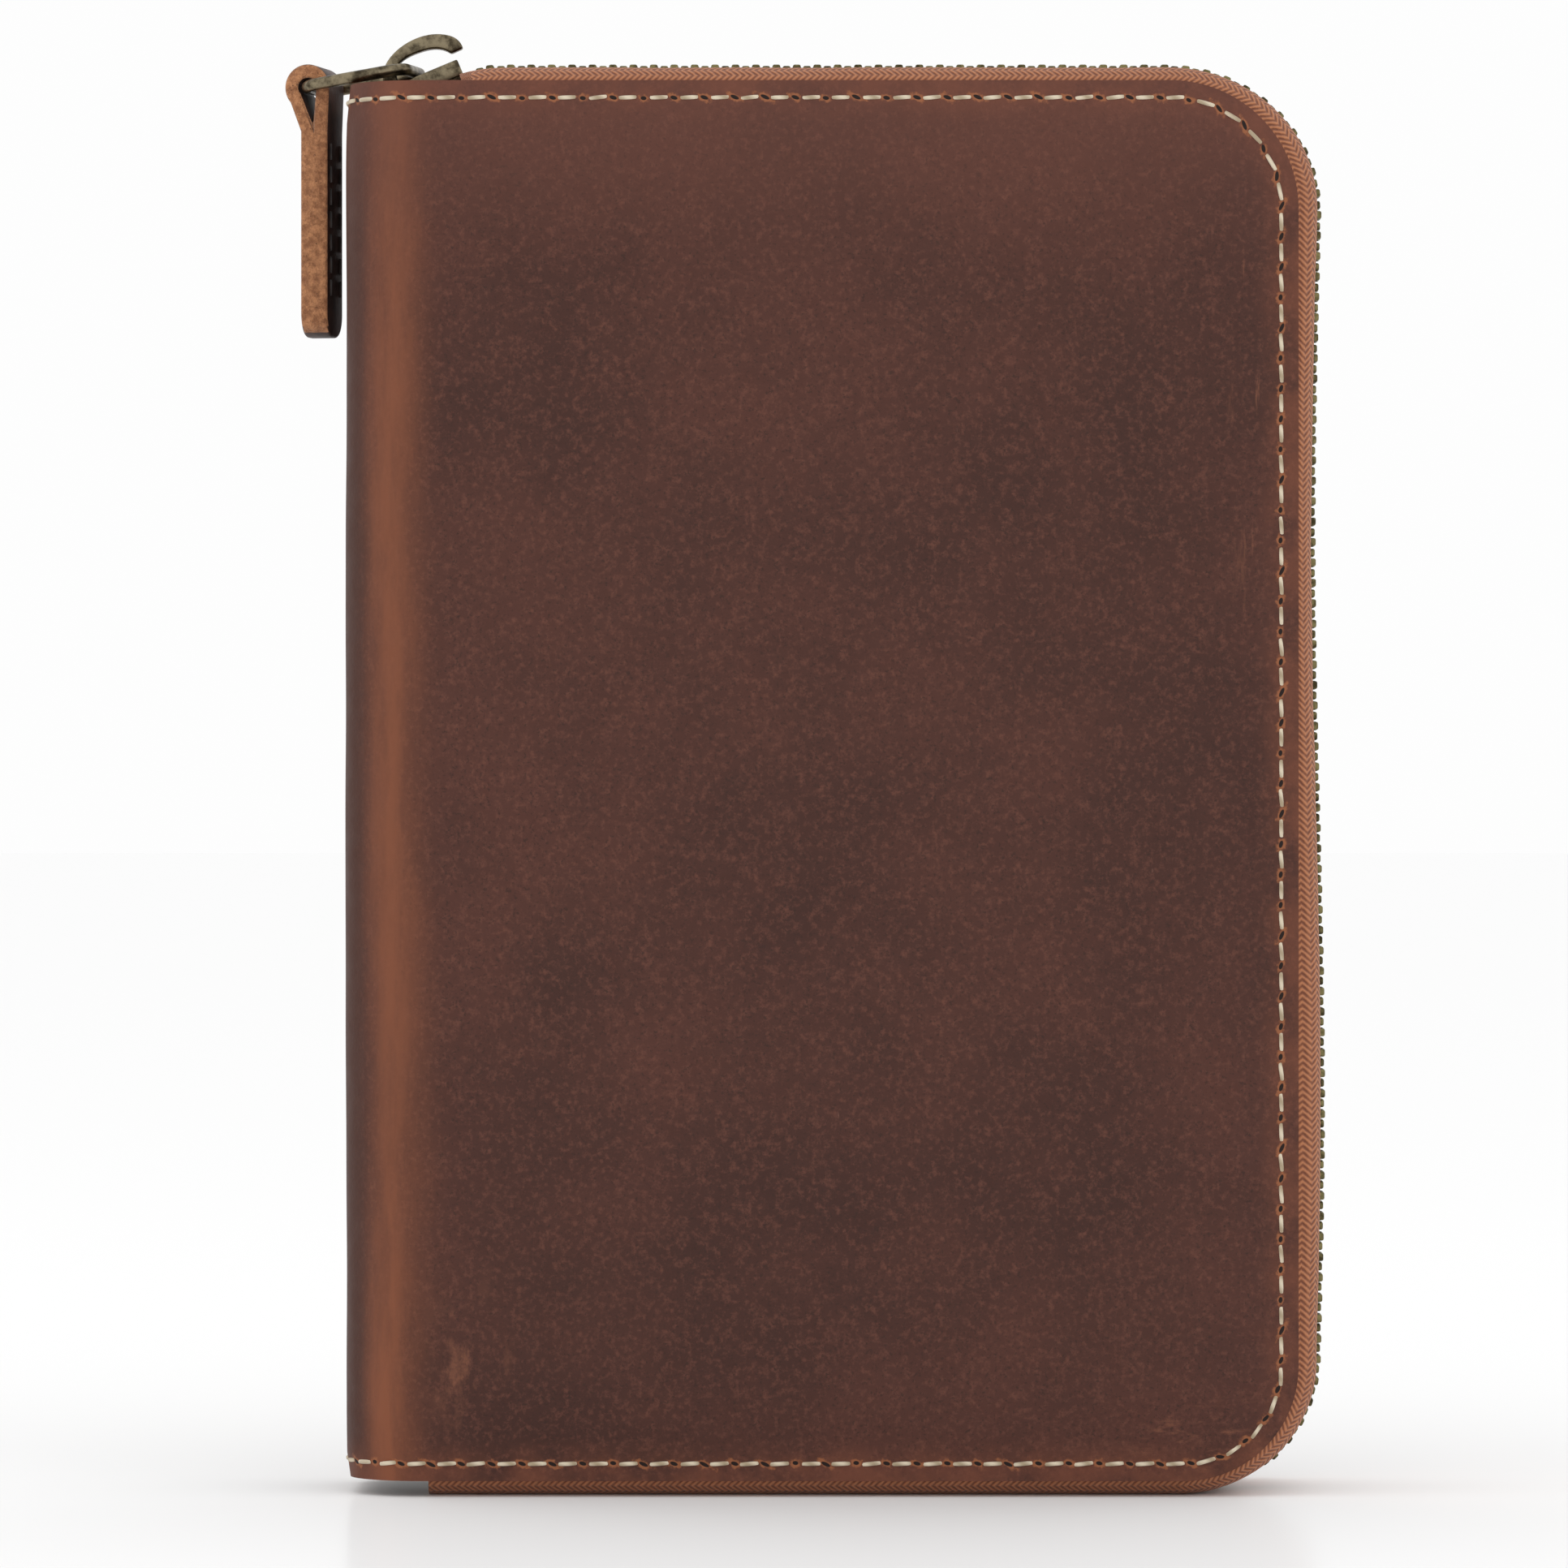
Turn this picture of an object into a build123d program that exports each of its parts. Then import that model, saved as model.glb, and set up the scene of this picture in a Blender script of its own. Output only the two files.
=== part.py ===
from build123d import *
from math import cos, radians, sin, tan
import os

os.makedirs("parts", exist_ok=True)

# A bible in a zip-around leather case, standing on its lower zip gusset.
# +X runs from the spine to the fore edge, -Y is the front cover, +Z is up.
# The origin is on the base, at the middle of the cover's width and thickness.

# Case
cover_width = 141.2
cover_height = 207.2
case_thickness = 38.0
top_corner_radius = 19.0
bottom_corner_radius = 17.0
spine_rounding = 11.5
leather = 1.6
foam = 0.8
board = 1.2
lining = 0.4
sleeve = 0.4
sleeve_width = 52.0
foam_inset = 13.0
board_inset = 6.0
lining_inset = 3.0
hinge_gap = 0.3
layer_start = 1.0

# Zip
gusset_reach = 2.4
gusset_rounding = 5.4
flange_depth = 9.0
tape = 0.8
chain_half_width = 3.1
row_gap = 0.3
tooth_pitch = 3.05
tooth_length = 1.35
tooth_height = 2.8
tooth_stand = 1.2
base_recess = 0.2
zip_slope = 22.6
zip_bend_from_hinge = 7.5
zip_bend_radius = 20.0
zip_start_from_hinge = 0.9
stop_length = 2.6

# Slider, crown, ring and pull
slider_from_hinge = 0.7
slider_length = 11.0
slider_half_width = 3.9
slider_plate = 1.3
slider_wall = 0.45
slider_room = 0.3
slider_post = 2.4
crown_width = 2.6
pull_turn = 12.0
ring_from_slider = 2.8
ring_lift = 0.35
ring_drop = 9.0
ring_wire = 1.8
ring_length = 15.4
ring_half_width = 6.2
ring_corner = 2.5
strap_width = 9.0
strap_layer = 2.1
strap_hole_radius = 1.35
strap_shift = 1.1
strap_neck_drop = 6.6
strap_drop = 37.4
strap_corner = 3.6

# Book
book_board = 0.8
book_gap_top = 7.0
book_gap_side = 11.0
leaf_clearance = 0.3
leaves_thickness = 5.6
ribbon = 0.2
ribbon_width = 6.0
ribbon_from_hinge = 19.1
band_height = 1.6
page_inset = 4.0

# Stitching
stitch_inset = 2.6
stitch_pitch = 4.5
stitch_length = 3.0
stitch_width = 0.9
stitch_height = 0.4

# Places worked out from the sizes above
half_width = cover_width / 2
half_thickness = case_thickness / 2
cover_bottom = gusset_reach
cover_top = cover_bottom + cover_height
hinge_x = -half_width + spine_rounding
spine_centre_y = half_thickness - spine_rounding
leather_in = half_thickness - leather
foam_in = leather_in - foam
board_in = foam_in - board
lining_in = board_in - lining
book_in = lining_in - book_board
sleeve_in = book_in - sleeve
page_half = sleeve_in - leaf_clearance
tape_top = cover_top + gusset_reach
tape_right = half_width + gusset_reach
book_left = hinge_x
book_right = half_width - book_gap_side
book_bottom = cover_bottom + book_gap_top
book_top = cover_top - book_gap_top
leaves_in = page_half - leaves_thickness
block_front = leaves_in - leaf_clearance - ribbon
spine_inner = -half_width + leather
zip_bend_x = hinge_x + zip_bend_from_hinge
zip_start_x = hinge_x + zip_start_from_hinge
slider_x = hinge_x + slider_from_hinge
ring_x = slider_x - ring_from_slider
ring_z = tape_top + ring_lift
ribbon_x = hinge_x + ribbon_from_hinge
FRONT = -1
BACK = 1


def depth_plane(side, depth):
    """The plane parallel to the covers at this distance from the middle of the case."""
    return Plane.XZ.offset(-side * depth)


def finish(piece, name):
    """Label a finished piece and write it."""
    piece.part.label = name
    export_step(piece.part, "parts/" + name + ".step")


def cover_layer(side, outer, thickness, inset, left):
    """A sheet of the cover's outline, inset from its edge, from outer inwards."""
    with BuildPart() as layer:
        with BuildSketch(depth_plane(side, outer)) as outline:
            with Locations((left, cover_bottom + inset)):
                Rectangle(
                    half_width - inset - left,
                    cover_height - 2 * inset,
                    align=(Align.MIN, Align.MIN),
                )
            edge = outline.vertices().group_by(Axis.X)[-1].sort_by(Axis.Y)
            fillet(edge[0], bottom_corner_radius - inset)
            edge = outline.vertices().group_by(Axis.Y)[-1].sort_by(Axis.X)
            fillet(edge[-1], top_corner_radius - inset)
        extrude(amount=side * thickness)
    return layer


def book_sheet(side, outer, thickness, left, right):
    """A flat sheet as high as the book, from outer inwards."""
    with BuildPart() as sheet:
        with BuildSketch(depth_plane(side, outer)):
            with Locations((left, book_bottom)):
                Rectangle(
                    right - left,
                    book_top - book_bottom,
                    align=(Align.MIN, Align.MIN),
                )
        extrude(amount=side * thickness)
    return sheet


# Cover leathers: one for the front, one for the back, one round the spine
front_leather = cover_layer(FRONT, half_thickness, leather, 0, hinge_x)
finish(front_leather, "front_cover_leather")
back_leather = cover_layer(BACK, half_thickness, leather, 0, hinge_x)
finish(back_leather, "back_cover_leather")


def spine_shell(outer_offset, thickness, front_left, z_low, z_high):
    """A layer of the spine's rounded wall, outer_offset inside its outer face."""
    radius = spine_rounding - outer_offset
    with BuildPart() as shell:
        with BuildSketch(Plane.XY.offset(z_low)):
            with Locations((hinge_x, 0)):
                SlotOverall(2 * (spine_centre_y + radius), 2 * radius, rotation=90)
                inner = radius - thickness
                SlotOverall(2 * (spine_centre_y + inner), 2 * inner, rotation=90, mode=Mode.SUBTRACT)
            with Locations((hinge_x, 0)):
                Rectangle(
                    spine_rounding,
                    case_thickness,
                    align=(Align.MIN, Align.CENTER),
                    mode=Mode.SUBTRACT,
                )
            with Locations((front_left, -case_thickness / 2)):
                Rectangle(
                    spine_rounding,
                    case_thickness / 2,
                    align=(Align.MIN, Align.CENTER),
                    mode=Mode.SUBTRACT,
                )
        extrude(amount=z_high - z_low)
    return shell


spine_cover = spine_shell(0, leather, hinge_x - hinge_gap, cover_bottom, cover_top)
finish(spine_cover, "spine_leather")

# Spine stiffener and lining, flat between the roundings
with BuildPart() as spine_stiffener:
    with Locations((spine_inner, 0, cover_bottom + board_inset)):
        Box(
            board,
            2 * spine_centre_y,
            cover_height - 2 * board_inset,
            align=(Align.MIN, Align.CENTER, Align.MIN),
        )
finish(spine_stiffener, "spine_stiffener")

with BuildPart() as spine_lining:
    with Locations((spine_inner + board, 0, cover_bottom + lining_inset)):
        Box(
            lining,
            2 * spine_centre_y,
            cover_height - 2 * lining_inset,
            align=(Align.MIN, Align.CENTER, Align.MIN),
        )
finish(spine_lining, "spine_lining")

# Layers inside each cover
layer_left = hinge_x + layer_start
for side, word in ((FRONT, "front"), (BACK, "back")):
    foam_pad = cover_layer(side, leather_in, foam, foam_inset, layer_left)
    finish(foam_pad, word + "_foam_pad")
    stiff_board = cover_layer(side, foam_in, board, board_inset, layer_left)
    finish(stiff_board, word + "_board")
    cloth = cover_layer(side, board_in, lining, lining_inset, layer_left)
    finish(cloth, word + "_lining")

# Sleeves: a pocket sewn to the lining along its top, bottom and fore edge
for side, word in ((FRONT, "front"), (BACK, "back")):
    with BuildPart() as pocket:
        with BuildSketch(depth_plane(side, lining_in)):
            with Locations((book_right - sleeve_width, book_bottom - 2 * sleeve)):
                Rectangle(
                    sleeve_width + 2 * sleeve,
                    book_top - book_bottom + 4 * sleeve,
                    align=(Align.MIN, Align.MIN),
                )
        extrude(amount=side * (book_board + sleeve))
        with BuildSketch(depth_plane(side, lining_in)):
            with Locations((book_right - sleeve_width, book_bottom - sleeve)):
                Rectangle(
                    sleeve_width + sleeve,
                    book_top - book_bottom + 2 * sleeve,
                    align=(Align.MIN, Align.MIN),
                )
        extrude(amount=side * book_board, mode=Mode.SUBTRACT)
    finish(pocket, word + "_sleeve")

# Book covers, each slipped into its sleeve
front_book_left = book_left + 2 * hinge_gap
book_front = book_sheet(FRONT, lining_in, book_board, front_book_left, book_right)
finish(book_front, "book_front_cover")
book_back = book_sheet(BACK, lining_in, book_board, book_left, book_right)
finish(book_back, "book_back_cover")

# Book spine
book_spine_inset = half_thickness - lining_in
book_spine = spine_shell(book_spine_inset, book_board, hinge_x, book_bottom, book_top)
finish(book_spine, "book_spine")

# Page block, fixed to the back, and the leaves that turn
page_right = book_right - page_inset
block_left = hinge_x - spine_rounding + book_spine_inset + book_board + leaf_clearance
with BuildPart() as page_block:
    with BuildSketch(Plane.XY.offset(book_bottom + page_inset)) as block_section:
        with Locations((block_left, -block_front)):
            Rectangle(
                page_right - block_left,
                page_half + block_front,
                align=(Align.MIN, Align.MIN),
            )
        spine_side = block_section.vertices().group_by(Axis.X)[0].sort_by(Axis.Y)
        fillet(spine_side[-1], hinge_x - block_left)
    extrude(amount=book_top - book_bottom - 2 * page_inset)
finish(page_block, "page_block")

with BuildPart() as front_leaves:
    with BuildSketch(Plane.XY.offset(book_bottom + page_inset)):
        with Locations((book_left, -page_half)):
            Rectangle(
                page_right - book_left,
                leaves_thickness,
                align=(Align.MIN, Align.MIN),
            )
    extrude(amount=book_top - book_bottom - 2 * page_inset)
finish(front_leaves, "front_leaves")

with BuildPart() as ribbon_marker:
    with BuildSketch(Plane.XZ.offset(block_front)):
        with Locations((ribbon_x, book_bottom + 1)):
            Rectangle(
                ribbon_width,
                book_top - book_bottom - page_inset,
                align=(Align.CENTER, Align.MIN),
            )
    extrude(amount=ribbon)
finish(ribbon_marker, "ribbon_marker")

# Head and tail bands, on the ends of the page block at its spine
band_ends = (
    ("head_band", book_top - page_inset),
    ("tail_band", book_bottom + page_inset - band_height),
)
for name, band_z in band_ends:
    with BuildPart() as band:
        with Locations((block_left + hinge_gap, 0, band_z)):
            Box(
                band_height,
                2 * (spine_centre_y - hinge_gap) - 1,
                band_height,
                align=(Align.MIN, Align.CENTER, Align.MIN),
            )
    finish(band, name)

# The line that the zip follows, on the outer face of its tape
bend_drop = (zip_bend_x - zip_start_x) * tan(radians(zip_slope))
with BuildLine(Plane.XZ) as zip_line:
    FilletPolyline(
        (zip_start_x, tape_top - bend_drop),
        (zip_bend_x, tape_top),
        (tape_right, tape_top),
        (tape_right, 0),
        (zip_start_x, 0),
        radius=[
            zip_bend_radius,
            top_corner_radius + gusset_reach,
            bottom_corner_radius + gusset_reach,
        ],
    )
zip_path = zip_line.wire()


def zip_plane(distance):
    """The plane across the zip at a distance along it: local X is +Y, local Y is outwards."""
    place = zip_path.position_at(distance, position_mode=PositionMode.LENGTH)
    along = zip_path.tangent_at(distance, position_mode=PositionMode.LENGTH)
    return Plane(origin=place, x_dir=(0, 1, 0), z_dir=along)


# Zip tapes: a flange under the leather, a rounded shoulder and a flat to the chain
slider_right = slider_x + slider_length / 2 + 1.6
shoulder_y = leather_in - gusset_rounding
for side, word in ((FRONT, "front"), (BACK, "back")):
    with BuildPart() as zip_tape:
        with BuildSketch(zip_plane(0)):
            with BuildLine():
                Line((side * chain_half_width, 0), (side * shoulder_y, 0))
                RadiusArc(
                    (side * shoulder_y, 0),
                    (side * leather_in, -gusset_rounding),
                    side * gusset_rounding,
                )
                Line((side * leather_in, -gusset_rounding), (side * leather_in, -flange_depth))
                Line(
                    (side * leather_in, -flange_depth),
                    (side * (leather_in - tape), -flange_depth),
                )
                Line(
                    (side * (leather_in - tape), -flange_depth),
                    (side * (leather_in - tape), -gusset_rounding),
                )
                RadiusArc(
                    (side * (leather_in - tape), -gusset_rounding),
                    (side * shoulder_y, -tape),
                    -side * (gusset_rounding - tape),
                )
                Line((side * shoulder_y, -tape), (side * chain_half_width, -tape))
                Line((side * chain_half_width, -tape), (side * chain_half_width, 0))
            make_face()
        sweep(path=zip_path)
        if side == FRONT:
            # Room for the slider, which stays with the back half
            with Locations((slider_right, -slider_half_width - slider_wall - 1, cover_top - 12)):
                Box(30, 12, 30, align=(Align.MAX, Align.MIN, Align.MIN), mode=Mode.SUBTRACT)
    finish(zip_tape, word + "_zip_tape")

# Zip teeth, half a pitch apart on the two tapes
zip_length = zip_path.length
slider_clear = (slider_right - zip_start_x) / cos(radians(zip_slope)) + 1
row_starts = ((FRONT, "front", slider_clear), (BACK, "back", slider_clear + tooth_pitch / 2))
for side, word, first in row_starts:
    places = []
    count = int((zip_length - first - stop_length) / tooth_pitch)
    for index in range(count):
        distance = first + index * tooth_pitch
        plane = zip_plane(distance)
        stand = tooth_stand
        if plane.origin.Z < 2 * tooth_stand:
            stand = -base_recess
        middle = side * (chain_half_width + row_gap / 2) / 2
        lift = stand - tooth_height / 2
        place = plane.from_local_coords((middle, lift, 0))
        places.append(Plane(origin=place, x_dir=plane.x_dir, z_dir=plane.z_dir))
    with BuildPart() as teeth:
        with Locations(*places):
            Box(chain_half_width - row_gap / 2, tooth_height, tooth_length)
    finish(teeth, word + "_zip_teeth")

# Slider: two plates and a post round the back half of the chain, leaning with the zip's end
slope = Vector(cos(radians(zip_slope)), 0, sin(radians(zip_slope)))
slider_z = tape_top - (zip_bend_x - slider_x) * tan(radians(zip_slope))
slider_middle = Plane(origin=(slider_x, 0, slider_z), x_dir=(0, 1, 0), z_dir=slope)
plate_gap_top = tooth_stand + slider_room
plate_gap_low = tooth_height - tooth_stand + slider_room
outer_half = slider_half_width + slider_wall
with BuildPart() as slider_body:
    with BuildSketch(slider_middle.offset(-slider_length / 2)):
        with Locations((0, plate_gap_top)):
            Rectangle(2 * outer_half, slider_plate, align=(Align.CENTER, Align.MIN))
        with Locations((0, -plate_gap_low)):
            Rectangle(2 * outer_half, slider_plate, align=(Align.CENTER, Align.MAX))
        for side in (FRONT, BACK):
            with Locations((side * (slider_half_width + slider_wall / 2), plate_gap_top)):
                Rectangle(slider_wall, plate_gap_top - slider_room, align=(Align.CENTER, Align.MAX))
            with Locations((side * (slider_half_width + slider_wall / 2), -plate_gap_low)):
                Rectangle(
                    slider_wall,
                    plate_gap_low - tape - slider_room,
                    align=(Align.CENTER, Align.MIN),
                )
    extrude(amount=slider_length)
    # The post that parts the two rows
    with BuildSketch(slider_middle.offset(-slider_length / 2)):
        with Locations((0, (plate_gap_top - plate_gap_low) / 2)):
            Rectangle(slider_post, plate_gap_top + plate_gap_low)
    extrude(amount=slider_post)
finish(slider_body, "slider_body")

# Crown: an open hook over the slider's upper plate, which carries the ring


def plate_z(x):
    """Height of the slider's upper face at x."""
    rise = (plate_gap_top + slider_plate) / cos(radians(zip_slope))
    return slider_z + rise + (x - slider_x) * tan(radians(zip_slope))


crown_foot_left = slider_x - slider_length / 2 * slope.X - 1.6
crown_foot_right = crown_foot_left + 2.0
with BuildPart() as slider_crown:
    with BuildSketch(Plane.XZ):
        with BuildLine():
            hook = Spline(
                (crown_foot_left, plate_z(crown_foot_left)),
                (crown_foot_left - 0.4, tape_top + 0.6),
                (slider_x - 3.4, tape_top + 4.7),
                (slider_x + 1.4, tape_top + 5.9),
                (slider_x + 3.8, tape_top + 5.2),
                (slider_x + 4.8, tape_top + 3.8),
            )
            Line(hook @ 1, (slider_x + 3.0, tape_top + 3.0))
            under = Spline(
                (slider_x + 3.0, tape_top + 3.0),
                (slider_x + 1.2, tape_top + 3.7),
                (slider_x - 1.8, tape_top + 3.2),
                (slider_x - 4.8, tape_top + 1.4),
                (crown_foot_right, plate_z(crown_foot_right)),
            )
            Line(under @ 1, hook @ 0)
        make_face()
    extrude(amount=crown_width / 2, both=True)
finish(slider_crown, "slider_crown")

# Lower end stop: a clip across both rows, on the back tape
with BuildPart() as end_stop:
    stop_plane = zip_plane(zip_length - stop_length / 2)
    stop_height = tooth_height - base_recess
    with BuildSketch(stop_plane.offset(-stop_length / 2)):
        with Locations((row_gap / 2, -base_recess)):
            Rectangle(chain_half_width - row_gap / 2, stop_height, align=(Align.MIN, Align.MAX))
    extrude(amount=stop_length)
finish(end_stop, "zip_end_stop")

# Pull ring, turned a little about the vertical, leaning on the top of the spine
turn = radians(pull_turn)
lean = radians(ring_drop)
across = Vector(sin(turn), cos(turn), 0)
outward = Vector(-cos(turn) * cos(lean), sin(turn) * cos(lean), -sin(lean))
ring_pivot = Vector(ring_x, 0, ring_z)
strap_pivot = ring_pivot + outward * ring_length
ring_plane = Plane(origin=ring_pivot, x_dir=outward, z_dir=outward.cross(across))
with BuildPart() as pull_ring:
    with BuildLine(ring_plane) as ring_line:
        FilletPolyline(
            (0, ring_half_width),
            (0, -ring_half_width),
            (ring_length, -ring_half_width),
            (ring_length, ring_half_width),
            close=True,
            radius=ring_corner,
        )
    with BuildSketch(Plane(origin=ring_line.wire() @ 0, z_dir=ring_line.wire() % 0)):
        Circle(ring_wire / 2)
    sweep(path=ring_line.wire())
finish(pull_ring, "pull_ring")

# Leather pull: a strap folded round the ring and sewn to itself
strap_plane = Plane(origin=strap_pivot, x_dir=(cos(turn), -sin(turn), 0), z_dir=across * -1)
loop_radius = strap_hole_radius + strap_layer
with BuildPart() as pull_strap:
    with BuildSketch(strap_plane):
        Circle(loop_radius)
        with BuildLine():
            Polyline(
                (-loop_radius, 0),
                (strap_shift - strap_layer, -strap_neck_drop),
                (strap_shift - strap_layer, -strap_drop),
                (strap_shift + strap_layer, -strap_drop),
                (strap_shift + strap_layer, -strap_neck_drop),
                (loop_radius, 0),
                close=True,
            )
        make_face()
        Circle(strap_hole_radius, mode=Mode.SUBTRACT)
        with BuildLine():
            Polyline(
                (-strap_hole_radius, 0),
                (strap_shift * 0.8, -strap_neck_drop + strap_layer / 2),
                (strap_hole_radius, 0),
                close=True,
            )
        make_face(mode=Mode.SUBTRACT)
    extrude(amount=strap_width / 2, both=True)
    foot = pull_strap.faces().sort_by(Axis.Z)[0]
    short_edges = foot.edges().sort_by(SortBy.LENGTH)[0:2]
    fillet(short_edges, strap_corner)
finish(pull_strap, "pull_strap")

# Thread on both faces of the strap, along its two long edges
strap_row = strap_width / 2 - 1.6
strap_stitch_places = []
for face_side in (-1, 1):
    for edge_side in (-1, 1):
        for index in range(7):
            drop = -strap_neck_drop - 3.0 - index * 3.4
            reach = strap_shift + face_side * (strap_layer + stitch_height / 4)
            local = (reach, drop, edge_side * strap_row)
            place = strap_plane.from_local_coords(local)
            strap_stitch_places.append(
                Plane(origin=place, x_dir=strap_plane.x_dir, z_dir=strap_plane.z_dir)
            )
with BuildPart() as strap_stitching:
    with Locations(*strap_stitch_places):
        Box(stitch_height / 2, stitch_length * 0.8, stitch_width * 0.7)
finish(strap_stitching, "pull_strap_stitching")

# Cover stitching: short raised lengths of thread near the edge of each cover
stitch_top = cover_top - stitch_inset
stitch_low = cover_bottom + stitch_inset
stitch_right = half_width - stitch_inset
with BuildLine(Plane.XZ) as stitch_line:
    FilletPolyline(
        (hinge_x + stitch_pitch, stitch_top),
        (stitch_right, stitch_top),
        (stitch_right, stitch_low),
        (hinge_x + stitch_pitch, stitch_low),
        radius=[top_corner_radius - stitch_inset, bottom_corner_radius - stitch_inset],
    )
stitch_path = stitch_line.wire()
stitch_count = int(stitch_path.length / stitch_pitch)
for side, word in ((FRONT, "front"), (BACK, "back")):
    stitch_places = []
    for index in range(stitch_count):
        distance = (index + 0.5) * stitch_pitch
        place = stitch_path.position_at(distance, position_mode=PositionMode.LENGTH)
        along = stitch_path.tangent_at(distance, position_mode=PositionMode.LENGTH)
        place = place + Vector(0, side * (half_thickness + stitch_height / 2), 0)
        stitch_places.append(Plane(origin=place, x_dir=(0, 1, 0), z_dir=along))
    with BuildPart() as stitching:
        with Locations(*stitch_places):
            Box(stitch_height, stitch_width, stitch_length)
    finish(stitching, word + "_stitching")

print("zip length", round(zip_length, 2))
print("front hinge at", round(hinge_x, 3), -half_thickness)
print("leaves hinge at", round(book_left, 3), round(-page_half, 3))
print("ring pivot", ring_pivot, "strap pivot", strap_pivot, "axis", across)
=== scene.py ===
import math
import random

import bmesh
import bpy
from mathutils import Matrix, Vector, noise


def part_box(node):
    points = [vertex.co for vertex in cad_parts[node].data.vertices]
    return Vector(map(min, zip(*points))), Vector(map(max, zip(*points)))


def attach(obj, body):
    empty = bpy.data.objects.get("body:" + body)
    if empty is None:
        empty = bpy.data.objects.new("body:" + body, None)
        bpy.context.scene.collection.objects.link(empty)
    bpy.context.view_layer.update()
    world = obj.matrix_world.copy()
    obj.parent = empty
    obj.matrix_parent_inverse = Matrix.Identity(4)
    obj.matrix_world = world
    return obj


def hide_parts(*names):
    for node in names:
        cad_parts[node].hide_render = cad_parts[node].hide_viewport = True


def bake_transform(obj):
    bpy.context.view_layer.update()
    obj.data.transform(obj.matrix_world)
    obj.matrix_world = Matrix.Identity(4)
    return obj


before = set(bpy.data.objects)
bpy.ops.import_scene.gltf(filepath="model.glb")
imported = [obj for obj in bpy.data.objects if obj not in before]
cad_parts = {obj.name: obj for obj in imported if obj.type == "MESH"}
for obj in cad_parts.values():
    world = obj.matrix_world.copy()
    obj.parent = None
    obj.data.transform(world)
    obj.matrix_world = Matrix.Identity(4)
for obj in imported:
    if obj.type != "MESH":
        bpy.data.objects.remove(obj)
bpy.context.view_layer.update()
MM = 0.001

# ---------------------------------------------------------------- sizes, in millimetres
spine_box = [Vector(c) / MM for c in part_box("spine_leather")]
front_box = [Vector(c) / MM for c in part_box("front_cover_leather")]
back_box = [Vector(c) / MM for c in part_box("back_cover_leather")]
tape_box = [Vector(c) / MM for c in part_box("back_zip_tape")]

SPINE_X = spine_box[0].x
HINGE_X = front_box[0].x
EDGE_X = front_box[1].x
LOW_Z = front_box[0].z
HIGH_Z = front_box[1].z
HALF_THICK = back_box[1].y
LEATHER = front_box[1].y - front_box[0].y
ROUNDING = HINGE_X - SPINE_X
SPINE_FLAT = HALF_THICK - ROUNDING
TOP_CORNER = 19.0
LOW_CORNER = 17.0
ARC = ROUNDING * math.pi / 2
FACE_S = SPINE_FLAT + ARC
EDGE_S = FACE_S + EDGE_X - HINGE_X
SEAM_S = 16.0          # where the hide is parted, on the front rounding of the spine
STITCH_INSET = 2.6
STITCH_PITCH = 4.5
SHEET_UNIT = 100.0     # millimetres to one unit of the hide's own map
WEAVE_UNIT = 10.0      # millimetres to one unit of the tape's own map
TAPE = 0.8
TAPE_TOP = tape_box[1].z
TAPE_RIGHT = tape_box[1].x
ZIP_START_X = tape_box[0].x
ZIP_SLOPE = math.radians(22.6)
ZIP_BEND_X = HINGE_X + 7.5
ZIP_BEND_RADIUS = 20.0
REACH = TAPE_TOP - HIGH_Z
TOOTH_PITCH = 3.05
FRONT_TAPE_GAP = 5.2   # the front tape starts this far past the hinge line
TEETH_START = 7.5      # the teeth start this far past the hinge line along the top
TOOTH_LONG, TOOTH_WIDE, TOOTH_TALL = 1.36, 3.7, 2.5
TOOTH_STANDS = 1.25    # the teeth stand this far out of the tape, but not under the base
GUSSET_SHOULDER = 5.4
GUSSET_FLANGE = 8.6
THREAD_LENGTH, THREAD_RADIUS = 3.7, 0.33
PULL_TURN = math.radians(12)
VIEW_WIDTH = 231.8
VIEW_X = -5.5
VIEW_Z = 105.5


# ---------------------------------------------------------------- small helpers
def linear(hex_colour):
    """An sRGB hex colour as linear RGBA."""
    values = [int(hex_colour[i:i + 2], 16) / 255 for i in (1, 3, 5)]
    bent = [v / 12.92 if v <= 0.04045 else ((v + 0.055) / 1.055) ** 2.4 for v in values]
    return (*bent, 1.0)


def per_mm(size):
    """The texture scale that gives a feature of this size in millimetres."""
    return 1.0 / (size * MM)


def smooth(low, high, value):
    """A smooth step from 0 at low to 1 at high."""
    t = min(max((value - low) / (high - low), 0.0), 1.0)
    return t * t * (3 - 2 * t)


def add(tree, kind, inputs=(), out=0, **settings):
    """Adds a node with its settings, sets or links its inputs by place or name, and returns an output.

    An input is a socket, which is linked, an sRGB hex colour, or a plain value."""
    node = tree.nodes.new("ShaderNode" + kind)
    for name, value in settings.items():
        setattr(node, name, value)
    for key, value in inputs.items() if isinstance(inputs, dict) else enumerate(inputs):
        if isinstance(value, bpy.types.NodeSocket):
            tree.links.new(value, node.inputs[key])
        else:
            node.inputs[key].default_value = linear(value) if isinstance(value, str) else value
    return node.outputs[out]


def material(name, **values):
    """A new material with one principled shader, whose plain values are set on its sockets."""
    made = bpy.data.materials.new(name)
    made.use_nodes = True
    shader = made.node_tree.nodes["Principled BSDF"]
    for key, value in values.items():
        shader.inputs[key.replace("_", " ")].default_value = value
    return made, made.node_tree, shader


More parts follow.
